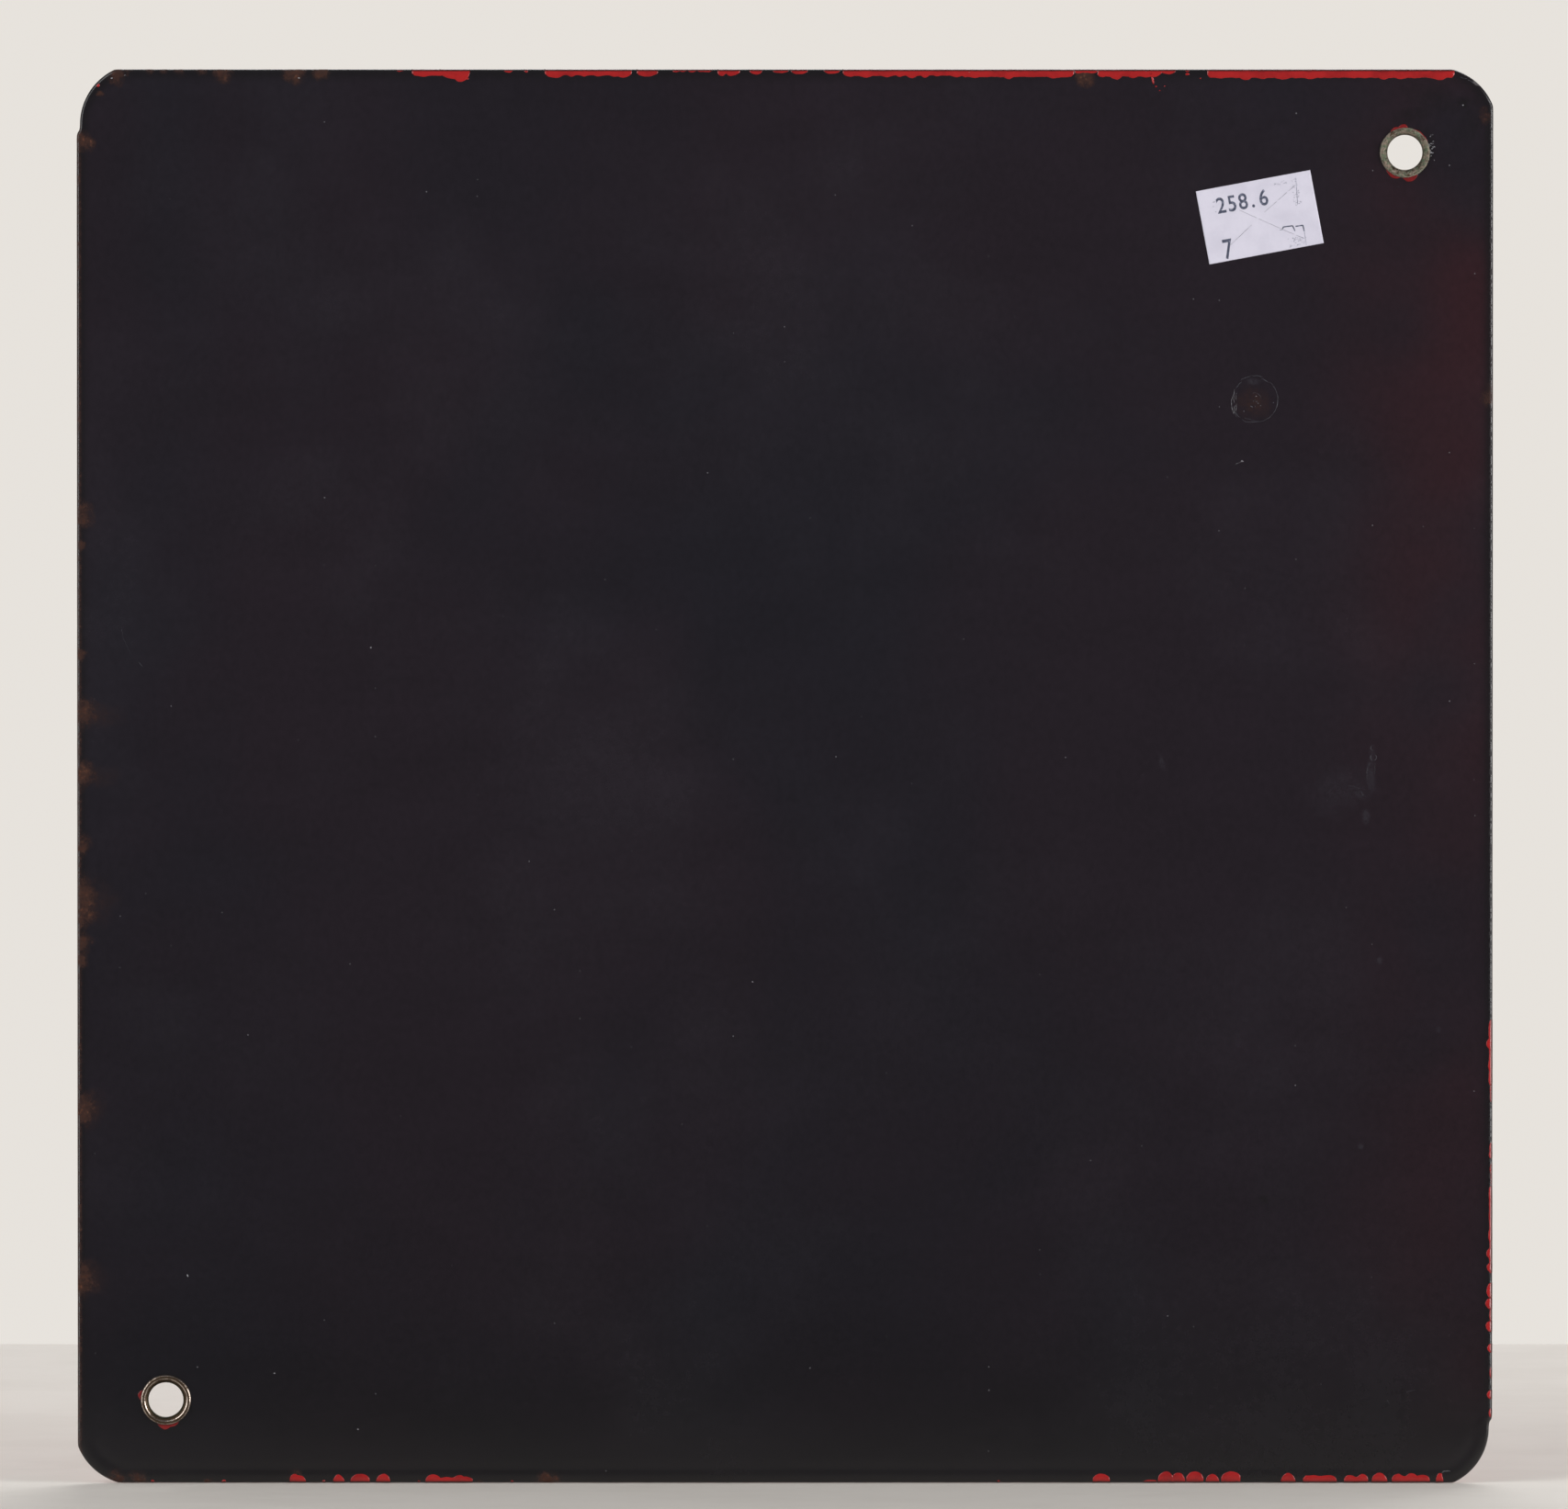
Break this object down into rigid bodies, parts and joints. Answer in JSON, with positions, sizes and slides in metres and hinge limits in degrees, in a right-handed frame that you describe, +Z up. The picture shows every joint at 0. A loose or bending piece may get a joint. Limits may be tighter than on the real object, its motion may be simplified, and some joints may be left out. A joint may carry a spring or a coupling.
{
  "type": "enamel sign",
  "caption": "Square enamelled steel sign plate with round punched corners, brass eyelets in opposite corners and a paper label on its dark back.",
  "frame": {"origin": "centre of the plate, halfway through its thickness and midway between the fixing holes", "axes": "+Z up, +Y out of the red front face, towards a reader of the sign; the dark back faces -Y; +X to the right of someone who looks at the back"},
  "size_m": [0.3048, 0.003, 0.3048],
  "materials": {
    "enamel": "gloss",
    "eyelet_brass": "tarnished",
    "label_paper": "matte"
  },
  "bodies": {
    "root": {"enamelled_plate": "enamel", "upper_eyelet": "eyelet_brass", "lower_eyelet": "eyelet_brass", "paper_label": "label_paper"}
  },
  "joints": []
}
